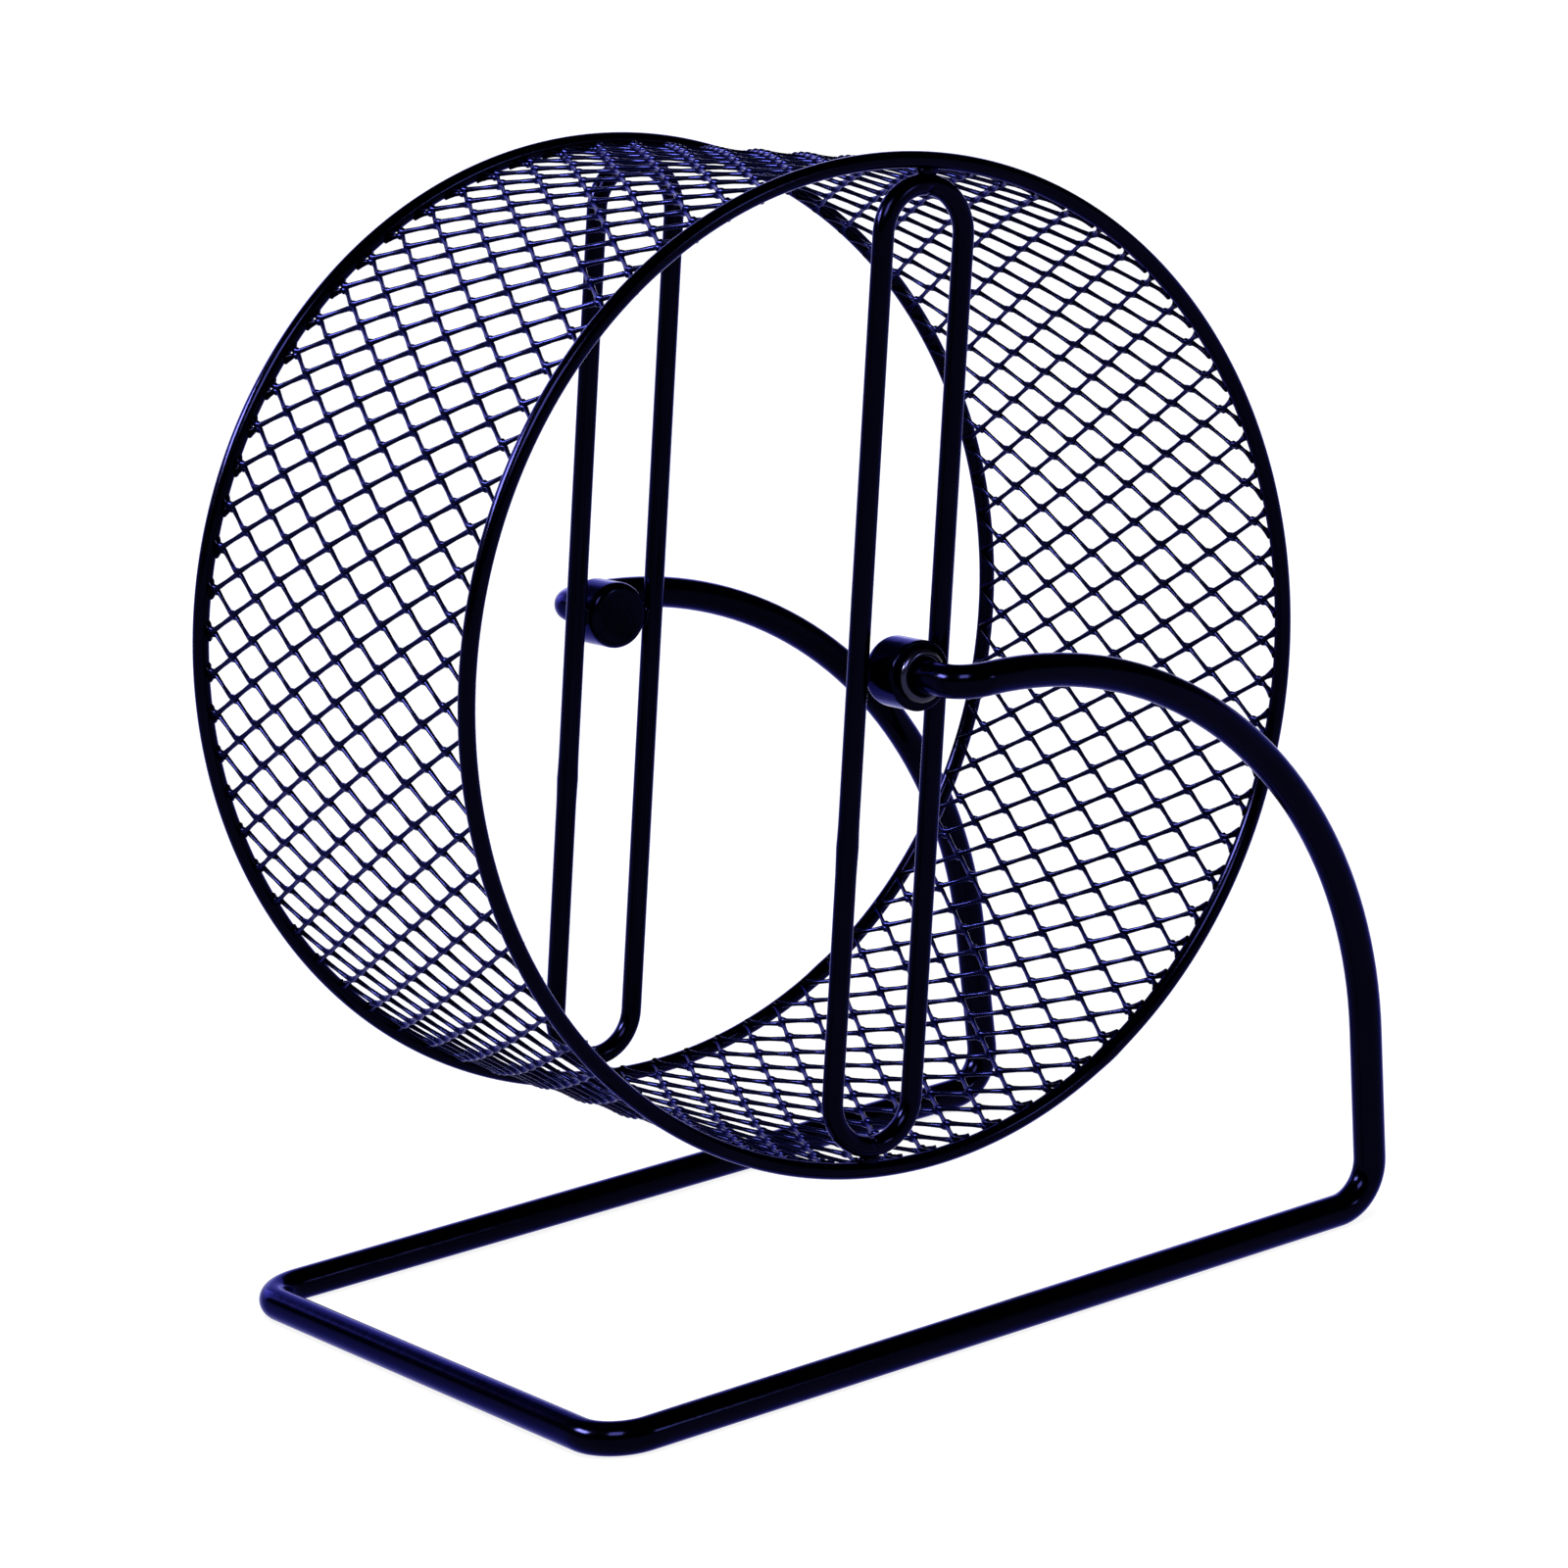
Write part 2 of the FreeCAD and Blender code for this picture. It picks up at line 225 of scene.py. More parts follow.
def add(
    tree: bpy.types.NodeTree, kind: str, sockets: dict[Any, Any] | None = None, **settings: Any
) -> bpy.types.Node:
    """Adds a node with its settings, and fills or links its inputs.

    Args:
        tree: the node tree.
        kind: the node's type name.
        sockets: input name or number, and the value to set or the output to link.
        settings: properties of the node.

    Returns:
        The new node.
    """
    node = tree.nodes.new(kind)
    for name, value in settings.items():
        setattr(node, name, value)
    for key, value in (sockets or {}).items():
        if isinstance(value, bpy.types.NodeSocket):
            tree.links.new(value, node.inputs[key])
        else:
            node.inputs[key].default_value = value
    return node


@dataclass(frozen=True)
class DarkGloss:
    """A smooth, nearly black surface, of which the eye gets little but its mirror.

    Attributes:
        name: what the material is.
        thin: colour where the surface film is thin.
        thick: colour where the film is thick.
        glint: tint of the mirror at low angles.
        metallic: share of the mirror that is tinted as a metal's is.
        specular: level of the colourless mirror in the rest.
        roughness: middle roughness.
        roughness_swing: how far roughness goes down in thin film and up in thick.
        painted_rim_shade: colour of the painted shade where strands meet a rim, or an empty text.
        flow_mm: width of the waves that are left of its flow.
        flow_depth_mm: depth of those waves.
        flow_detail: finer waves on them.
        film_mm: width of the thin and thick patches.
        film_detail: finer patches on them.
    """

    name: str
    thin: str
    thick: str
    glint: str
    metallic: float
    specular: float
    roughness: float
    roughness_swing: float
    painted_rim_shade: str = ""
    flow_mm: float = 2.6
    flow_depth_mm: float = 0.02
    flow_detail: float = 1.0
    film_mm: float = 14.0
    film_detail: float = 3.0

    def build(self) -> bpy.types.Material:
        """Makes the material.

        Returns:
            The finished material.
        """
        material = bpy.data.materials.new(self.name)
        material.use_nodes = True
        tree = material.node_tree
        place = add(tree, "ShaderNodeTexCoord").outputs["Object"]
        film = add(tree, "ShaderNodeTexNoise", {
            "Vector": place, "Scale": 1 / (self.film_mm * MM), "Detail": self.film_detail}).outputs["Fac"]
        flow = add(tree, "ShaderNodeTexNoise", {
            "Vector": place, "Scale": 1 / (self.flow_mm * MM), "Detail": self.flow_detail}).outputs["Fac"]
        film_colours = {"Factor": film, "A": linear(self.thin), "B": linear(self.thick)}
        colour = add(tree, "ShaderNodeMix", film_colours, data_type="RGBA").outputs["Result"]
        # Painted shade: towards the rims the colour, and with it the mirror, goes to the dark shade colour.
        if self.painted_rim_shade:
            rim_shade_amount = add(tree, "ShaderNodeAttribute", attribute_name=RIM_SHADE).outputs["Fac"]
            rim_shade_colours = {"Factor": rim_shade_amount, "A": colour, "B": linear(self.painted_rim_shade)}
            colour = add(tree, "ShaderNodeMix", rim_shade_colours, data_type="RGBA").outputs["Result"]
        gloss = add(tree, "ShaderNodeMapRange", {
            "Value": film,
            "To Min": self.roughness - self.roughness_swing,
            "To Max": self.roughness + self.roughness_swing,
        })
        bump = add(tree, "ShaderNodeBump", {"Height": flow, "Distance": self.flow_depth_mm * MM})
        shader = tree.nodes["Principled BSDF"]
        tree.links.new(colour, shader.inputs["Base Color"])
        tree.links.new(gloss.outputs["Result"], shader.inputs["Roughness"])
        tree.links.new(bump.outputs["Normal"], shader.inputs["Normal"])
        shader.inputs["Metallic"].default_value = self.metallic
        shader.inputs["Specular IOR Level"].default_value = self.specular
        shader.inputs["Specular Tint"].default_value = linear(self.glint)
        return material


@dataclass(frozen=True)
class GlossEnamel(DarkGloss):
    """Stoved gloss enamel on steel: near black, with a blue-violet glint where it mirrors a lamp.

    Its mirror takes the pigment's tint as a metal's does, so it is drawn as a dark metal. The coat flows
    before it hardens: highlights waver a little, and a thicker film is darker and a touch duller.
    """

    thin: str = "#060614"
    thick: str = "#03030c"
    glint: str = "#c4c4ff"
    metallic: float = 1.0
    specular: float = 0.06
    roughness: float = 0.14
    roughness_swing: float = 0.05


@dataclass(frozen=True)
class MouldedNylon(DarkGloss):
    """Moulded nylon, black right through: a plastic's plain mirror, a little softer than the enamel's."""

    thin: str = "#06060c"
    thick: str = "#040408"
    glint: str = "#b0b0ff"
    metallic: float = 0.0
    specular: float = 0.5
    roughness: float = 0.18
    roughness_swing: float = 0.04


FINISHES: dict[Slot, DarkGloss] = {
    # A coat on thick rod drains slowly: a deep even mirror with long soft waves.
    Slot.STAND: GlossEnamel("gloss black enamel on bent rod"),
    # On thin wire the wet coat pulls tight, so its waves are shorter.
    Slot.WIRE: GlossEnamel("gloss black enamel on wire", flow_mm=1.8),
    # Sheared edges hold less: the coat is bluer, with a softer mirror; painted shade makes it black where
    # strands meet a rim.
    Slot.MESH: GlossEnamel(
        "gloss black enamel on expanded metal", thin="#090a25", thick="#06071a", painted_rim_shade="#010103",
        metallic=0.8, specular=0.0, roughness=0.22, roughness_swing=0.08, flow_mm=1.2),
    # The lathe's marks show through the coat as a fine ripple.
    Slot.HUB: GlossEnamel("gloss black enamel on turned steel", flow_mm=1.6),
    # Ripples of the weld below break the highlights up into small spots.
    Slot.WELD: GlossEnamel("gloss black enamel on weld metal", flow_mm=0.8, flow_depth_mm=0.05),
    # The skin that the mould left is even, with a mirror that is nearly colourless.
    Slot.BUSH: MouldedNylon("moulded black nylon"),
}


@dataclass(frozen=True)
class Axle:
    """The wheel's axle, and how far the wheel stands turned round it at rest."""

    middle: Vector
    rest_angle: float = math.radians(9.7)

    def turn(self) -> Matrix:
        """The wheel's turn at rest, as a 4 by 4 matrix."""
        return Matrix.Rotation(self.rest_angle, 4, "Y")

    def place(self, point: Vector) -> Vector:
        """Carries a point of the wheel's own frame to the row frame."""
        return self.middle + self.turn() @ point


def rounded_line(corners: Sequence[Vector], radii: Sequence[float], step: float) -> list[Vector]:
    """Lays points on a line through corners, with a tangent arc at each inner corner.

    Args:
        corners: the line's corner points, first and last included.
        radii: arc radius at each inner corner; 0 leaves it sharp.
        step: largest distance from point to point.

    Returns:
        The points in order.
    """
    points = [corners[0]]

    def run_to(end: Vector) -> None:
        """Adds evenly spaced points on a straight run.

        Args:
            end: the run's last point.
        """
        start = points[-1]
        count = max(1, math.ceil((end - start).length / step))
        points.extend(start.lerp(end, i / count) for i in range(1, count + 1))

    for before, corner, after, radius in zip(corners, corners[1:], corners[2:], radii):
        back = (before - corner).normalized()
        ahead = (after - corner).normalized()
        half = back.angle(ahead) / 2
        run_to(corner + back * radius / math.tan(half))
        if radius:
            centre = corner + (back + ahead).normalized() * radius / math.sin(half)
            arm = points[-1] - centre
            turn = math.pi - 2 * half
            axis = ahead.cross(back)
            by_turn = math.ceil(math.degrees(turn) / ARC_STEP_DEGREES)
            count = max(ARC_STEPS, math.ceil(radius * turn / step), by_turn)
            for i in range(1, count + 1):
                points.append(centre + Matrix.Rotation(turn * i / count, 3, axis) @ arm)
    run_to(corners[-1])
    return points


def to_mesh(made: bmesh.types.BMesh) -> bpy.types.Mesh:
    """Closes a mesh in the making: faces outwards, smooth shading.

    Args:
        made: the mesh in the making, freed here.

    Returns:
        The plain mesh.
    """
    bmesh.ops.recalc_face_normals(made, faces=made.faces)
    for face in made.faces:
        face.smooth = True
    mesh = bpy.data.meshes.new("piece")
    made.to_mesh(mesh)
    made.free()
    return mesh


def sweep(
    points: Sequence[Vector], closed: bool, radius: Callable[[int], float], sides: int
) -> bpy.types.Mesh:
    """Sweeps a circle along points with no twist.

    Args:
        points: centre line in order.
        closed: whether the last point joins the first.
        radius: wire radius at a point's number.
        sides: points round the wire.

    Returns:
        The mesh, its faces outwards.
    """
    count = len(points)
    tangents = []
    for i in range(count):
        before = points[i - 1] if closed or i else points[0]
        after = points[(i + 1) % count] if closed or i + 1 < count else points[-1]
        tangents.append((after - before).normalized())
    normal = tangents[0].orthogonal().normalized()
    angles = [2 * math.pi * j / sides for j in range(sides)]
    made = bmesh.new()
    rings = []
    for i, (point, tangent) in enumerate(zip(points, tangents)):
        if i:
            normal = tangents[i - 1].rotation_difference(tangent) @ normal
        across = tangent.cross(normal)
        ring = []
        for angle in angles:
            out = math.cos(angle) * normal + math.sin(angle) * across
            ring.append(made.verts.new(point + radius(i) * out))
        rings.append(ring)
    ends = rings[1:] + rings[:1] if closed else rings[1:]
    for near, far in zip(rings, ends):
        for j in range(sides):
            k = (j + 1) % sides
            made.faces.new((near[j], near[k], far[k], far[j]))
    if not closed:
        made.faces.new(rings[0][::-1])
        made.faces.new(rings[-1])
    return to_mesh(made)


def lathe(profile: Sequence[Vector], closed: bool, segments: int) -> bpy.types.Mesh:
    """Turns a profile round Y.

    Args:
        profile: points of radius (x) and place along the axle (y); a radius of 0 is a pole.
        closed: whether the last point joins the first.
        segments: steps round the axle.

    Returns:
        The mesh, its faces outwards.
    """
    angles = [2 * math.pi * i / segments for i in range(segments)]
    made = bmesh.new()
    rings = []
    for point in profile:
        if point.x < POLE:
            rings.append([made.verts.new((0, point.y, 0))] * segments)
            continue
        places = [(point.x * math.sin(angle), point.y, point.x * math.cos(angle)) for angle in angles]
        rings.append([made.verts.new(place) for place in places])
    ends = rings[1:] + rings[:1] if closed else rings[1:]
    for near, far in zip(rings, ends):
        for i in range(segments):
            j = (i + 1) % segments
            corners = list(dict.fromkeys((near[i], near[j], far[j], far[i])))
            made.faces.new(corners)
    return to_mesh(made)


def flash(away: float, swell: float) -> float:
    """How much fatter a wire is, as a factor, so many weld lengths away from its butt weld."""
    return 1 + swell * math.exp(-away * away)


@dataclass(frozen=True)
class Piece:
    """A finished piece: what it is called, what it rides on, and what it stands for."""

    name: str
    body: Body
    slot: Slot
    nodes: tuple[str, ...]

    def hand_over(self, mesh: bpy.types.Mesh, material: bpy.types.Material) -> None:
        """Puts a mesh into the scene as this piece.

        Args:
            mesh: the mesh, its place in its vertices.
            material: the finish.
        """
        mesh.name = self.name
        mesh.materials.clear()
        mesh.materials.append(material)
        obj = put(self.name, mesh)
        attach(obj, self.body.value)
        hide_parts(*self.nodes)
        LOG.info("%s: %d faces, rides on %s", self.name, len(mesh.polygons), self.body.value)


@dataclass
class StandRod:
    """The stand: one steel rod bent into axle stubs, arms, uprights, rails and a crossbar.

    Attributes:
        axle: the wheel's axle.
        stub_end: how far from the middle the stubs end, inside the hubs.
        stub_bend: bend from stub to arm.
        arm_lead: straight run of the arm before its big bend.
        arm_splay: how much wider the arms stand than the rails.
        rail_bend: bend from upright to rail.
        corner_bend: bend from rail to crossbar.
        step: largest step along the rod.
        sides: points round the rod.
    """

    axle: Axle
    stub_end: float = 44.45 * MM
    stub_bend: float = 5.0 * MM
    arm_lead: float = 1.0 * MM
    arm_splay: float = 4.5 * MM
    rail_bend: float = 8.5 * MM
    corner_bend: float = 8.5 * MM
    step: float = 3.0 * MM
    sides: int = 32

    def build(self, finish: bpy.types.Material) -> None:
        """Sweeps the rod along its bent line.

        Args:
            finish: the stand's enamel.
        """
        low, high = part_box("stand_rod")
        axle = self.axle.middle
        radius = high.z - axle.z
        upright = high.x - radius
        crossbar = low.x + radius
        arm = high.y - radius
        rail = arm - self.arm_splay
        arm_bend = upright - axle.x - self.stub_bend - self.arm_lead

        def half(side: Side) -> list[Vector]:
            """Lists the corner points of one half.

            Args:
                side: the half's end of the axle.

            Returns:
                The points, from the axle stub's end to the crossbar.
            """
            places = ((axle.x, self.stub_end, axle.z), (axle.x, arm, axle.z), (upright, arm, axle.z),
                      (upright, rail, radius), (crossbar, rail, radius))
            return [Vector((x, side.value * y, z)) for x, y, z in places]

        bends = [self.stub_bend, arm_bend, self.rail_bend, self.corner_bend]
        line = rounded_line(half(Side.FRONT) + half(Side.REAR)[::-1], bends + bends[::-1], self.step)
        mesh = sweep(line, False, lambda i: radius, self.sides)
        Piece("stand", Body.STAND, Slot.STAND, ("stand_rod",)).hand_over(mesh, finish)


@dataclass
class Rim:
    """A ring of round wire, closed by a butt weld.

    Attributes:
        axle: the wheel's axle.
        side: the end of the axle.
        weld_angle: turn of the butt weld from the wheel's own top.
        weld_length: how far the weld's flash reaches along the wire.
        weld_swell: how much fatter the wire is there.
        segments: steps round the ring.
        sides: points round the wire.
    """

    axle: Axle
    side: Side
    weld_angle: float = math.radians(143.0)
    weld_length: float = 2.2 * MM
    weld_swell: float = 0.07
    segments: int = 288
    sides: int = 20

    def build(self, finish: bpy.types.Material) -> None:
        """Sweeps the ring, a little fatter at its butt weld.

        Args:
            finish: the wires' enamel.
        """
        node = f"rim_{self.side.word}"
        low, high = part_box(node)
        wire = (high.y - low.y) / 2
        radius = (high.z - low.z) / 2 - wire
        middle = (high.y + low.y) / 2
        angles = [2 * math.pi * i / self.segments for i in range(self.segments)]
        places = [Vector((radius * math.sin(angle), middle, radius * math.cos(angle))) for angle in angles]
        ring = [self.axle.place(point) for point in places]

        def thickness(i: int) -> float:
            """Wire radius, raised by the weld's flash."""
            away = radius * (angles[i] - self.weld_angle) / self.weld_length
            return wire * flash(away, self.weld_swell)

        mesh = sweep(ring, True, thickness, self.sides)
        Piece(f"{node}_wire", Body.WHEEL, Slot.WIRE, (node,)).hand_over(mesh, finish)


@dataclass
class SpokeLoop:
    """A long closed loop of round wire across a rim, with the hub between its two straight runs.

    Attributes:
        axle: the wheel's axle.
        side: the end of the axle.
        weld_place: how far below the hub the loop's butt weld is.
        weld_length: how far the weld's flash reaches along the wire.
        weld_swell: how much fatter the wire is there.
        step: largest step along the wire.
        sides: points round the wire.
    """

    axle: Axle
    side: Side
    weld_place: float = 31.0 * MM
    weld_length: float = 2.4 * MM
    weld_swell: float = 0.06
    step: float = 2.4 * MM
    sides: int = 24

    def build(self, finish: bpy.types.Material) -> None:
        """Sweeps the loop's wire.

        Args:
            finish: the wires' enamel.
        """
        node = f"loop_{self.side.word}"
        low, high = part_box(node)
        wire = (high.y - low.y) / 2
        middle = (high.y + low.y) / 2
        half_x = (high.x - low.x) / 2
        half_z = (high.z - low.z) / 2
        lean = self.axle.rest_angle
        straight = (half_z - half_x) / (math.cos(lean) - math.sin(lean))
        bend = half_z - straight * math.cos(lean) - wire
        reach = straight + bend
        corners = [Vector((x * bend, middle, z * reach))
                   for x, z in ((-1, 0), (-1, 1), (1, 1), (1, -1), (-1, -1), (-1, 0))]
        line = [self.axle.place(point) for point in rounded_line(corners, [bend] * 4, self.step)[:-1]]
        weld = self.axle.place(Vector((-bend, middle, -self.weld_place)))

        def thickness(i: int) -> float:
            """Wire radius, raised by the flash of the loop's butt weld."""
            away = (line[i] - weld).length / self.weld_length
            return wire * flash(away, self.weld_swell)

        mesh = sweep(line, True, thickness, self.sides)
        Piece(f"{node}_wire", Body.WHEEL, Slot.WIRE, (node,)).hand_over(mesh, finish)


@dataclass
class Hub:
    """A turned steel cup between the loop's wires, and the flanged nylon bush pressed into it.

    Attributes:
        axle: the wheel's axle.
        side: the end of the axle.
        cup_floor: thickness of the cup's closed end.
        cup_round: rounding of that end.
        edge: rounding of the cup's open edge.
        bush_wall: thickness of the bush's sleeve.
        bush_lip: how far its flange goes past the sleeve.
        bush_edge: rounding of the flange.
        step: largest step along a profile.
        segments: steps round the axle.
    """

    axle: Axle
    side: Side
    cup_floor: float = 1.8 * MM
    cup_round: float = 1.6 * MM
    edge: float = 0.35 * MM
    bush_wall: float = 1.0 * MM
    bush_lip: float = 0.7 * MM
    bush_edge: float = 0.8 * MM
    step: float = 0.8 * MM
    segments: int = 72

    def build(self, steel: bpy.types.Material, nylon: bpy.types.Material) -> None:
        """Turns the cup and the bush.

        Args:
            steel: the cup's enamel.
            nylon: the bush's plastic.
        """
        cup_node = f"hub_cup_{self.side.word}"
        bush_node = f"bush_{self.side.word}"
        cup_low, cup_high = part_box(cup_node)
        bush_low, bush_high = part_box(bush_node)
        cup_in, cup_out = sorted((abs(cup_low.y), abs(cup_high.y)))
        bush_in, bush_out = sorted((abs(bush_low.y), abs(bush_high.y)))
        cup_radius = (cup_high.z - cup_low.z) / 2
        lip = (bush_high.z - bush_low.z) / 2
        sleeve = lip - self.bush_lip
        bore = sleeve - self.bush_wall
        floor = cup_in + self.cup_floor
        cup_corners = ((0, cup_in), (cup_radius, cup_in), (cup_radius, cup_out), (sleeve, cup_out),
                       (sleeve, floor), (0, floor))
        bush_corners = ((bore, bush_in), (sleeve, bush_in), (sleeve, cup_out), (lip, cup_out),
                        (lip, bush_out), (bore, bush_out), (bore, bush_in))
        cup = self._profile(cup_corners, [self.cup_round, self.edge, self.edge, 0])
        bush = self._profile(bush_corners, [0, 0, 0, self.bush_edge, self.bush_edge])
        cup_mesh = self._placed(lathe(cup, False, self.segments))
        bush_mesh = self._placed(lathe(bush[:-1], True, self.segments))
        Piece(f"hub_{self.side.word}", Body.WHEEL, Slot.HUB, (cup_node,)).hand_over(cup_mesh, steel)
        Piece(f"hub_{self.side.word}_bush", Body.WHEEL, Slot.BUSH, (bush_node,)).hand_over(bush_mesh, nylon)

    def _profile(self, corners: Sequence[tuple[float, float]], radii: Sequence[float]) -> list[Vector]:
        """Rounds a profile of radius and place along the axle."""
        return rounded_line([Vector((radius, along, 0)) for radius, along in corners], radii, self.step)

    def _placed(self, mesh: bpy.types.Mesh) -> bpy.types.Mesh:
        """Carries a mesh turned for the rear hub to this one.

        Args:
            mesh: the mesh, drawn along +Y.

        Returns:
            The same mesh in the row frame.
        """
        end_for_end = Matrix.Rotation(0 if self.side is Side.REAR else math.pi, 4, "Z")
        mesh.transform(Matrix.Translation(self.axle.middle) @ self.axle.turn() @ end_for_end)
        return mesh


@dataclass
class Welds:
    """Nuggets of weld metal: loop ends to the rim, and hub to the loop's wires.

    Attributes:
        axle: the wheel's axle.
        side: the end of the axle.
        rim_nugget: half sizes of a nugget at the rim.
        rim_offset: how far it stands inside the rim, as a share of its half height.
        hub_nugget: half sizes of a nugget at the hub.
        lump: height of the lumps on a nugget.
        lump_width: width of those lumps.
        detail: how often a nugget's faces are divided.
    """

    axle: Axle
    side: Side
    rim_nugget: Vector = Vector((2.1, 1.3, 1.1)) * MM
    rim_offset: float = 0.25
    hub_nugget: Vector = Vector((0.9, 1.4, 2.2)) * MM
    lump: float = 0.16 * MM
    lump_width: float = 1.4 * MM
    detail: int = 4

    def build(self, finish: bpy.types.Material) -> None:
        """Makes both pairs of nuggets of this side.

        Args:
            finish: the welds' enamel.
        """
        rim_low, rim_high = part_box(f"rim_{self.side.word}")
        cup_low, cup_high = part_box(f"hub_cup_{self.side.word}")
        weld_low, weld_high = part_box(f"hub_welds_{self.side.word}")
        middle = (rim_high.y + rim_low.y) / 2
        rim_inside = (rim_high.z - rim_low.z) / 2 - (rim_high.y - rim_low.y)
        rim_place = rim_inside - self.rim_nugget.z * self.rim_offset
        cup_radius = (cup_high.z - cup_low.z) / 2
        gap_middle = (cup_radius + (weld_high.x - weld_low.x) / 2) / 2
        rim_places = [Vector((0, middle, end * rim_place)) for end in (-1, 1)]
        hub_places = [Vector((end * gap_middle, middle, 0)) for end in (-1, 1)]
        pairs = (("rim", rim_places, self.rim_nugget), ("hub", hub_places, self.hub_nugget))
        for kind, places, size in pairs:
            node = f"{kind}_welds_{self.side.word}"
            mesh = self._nuggets(places, size)
            Piece(f"{node}_nuggets", Body.WHEEL, Slot.WELD, (node,)).hand_over(mesh, finish)

    def _nuggets(self, places: Sequence[Vector], size: Vector) -> bpy.types.Mesh:
        """Makes lumpy beads.

        Args:
            places: the beads' middles in the wheel's frame.
            size: half of a bead's length along the wheel's X, Y and Z.

        Returns:
            One mesh of all the beads.
        """
        made = bmesh.new()
        for place in places:
            bead = bmesh.ops.create_icosphere(made, subdivisions=self.detail, radius=1.0)
            for vert in bead["verts"]:
                outward = vert.co.copy()
                point = place + outward * size
                rise = self.lump * noise.noise(point / self.lump_width)
                vert.co = self.axle.place(point + outward * rise)
        return to_mesh(made)


def new_tree(
    name: str, sizes: dict[str, Any]
) -> tuple[bpy.types.NodeTree, dict[str, bpy.types.NodeSocket]]:
    """Starts a geometry node tree with one named input for each size.

    Args:
        name: the tree's name.
        sizes: the inputs' names, and a value of the kind that each takes.

    Returns:
        The tree, and its inputs as sockets to link from, by name.
    """
    tree = bpy.data.node_groups.new(name, "GeometryNodeTree")
    tree.interface.new_socket("Geometry", in_out="OUTPUT", socket_type="NodeSocketGeometry")
    for label, value in sizes.items():
        tree.interface.new_socket(label, in_out="INPUT", socket_type=SOCKET_KINDS[type(value)])
    given = add(tree, "NodeGroupInput")
    return tree, {label: given.outputs[label] for label in sizes}


def grown(tree: bpy.types.NodeTree, sizes: dict[str, Any]) -> bpy.types.Mesh:
    """Runs a geometry node tree once and keeps its result as a plain mesh.

    Args:
        tree: the tree.
        sizes: the value of each named input.

    Returns:
        The mesh.
    """
    holder = put(tree.name, bpy.data.meshes.new(tree.name))
    modifier = holder.modifiers.new(tree.name, "NODES")
    modifier.node_group = tree
    for item in tree.interface.items_tree:
        if item.in_out == "INPUT":
            modifier[item.identifier] = sizes[item.name]
    evaluated = holder.evaluated_get(bpy.context.evaluated_depsgraph_get())
    mesh = bpy.data.meshes.new_from_object(evaluated)
    holder.modifiers.remove(modifier)
    bpy.data.objects.remove(holder)
    return mesh


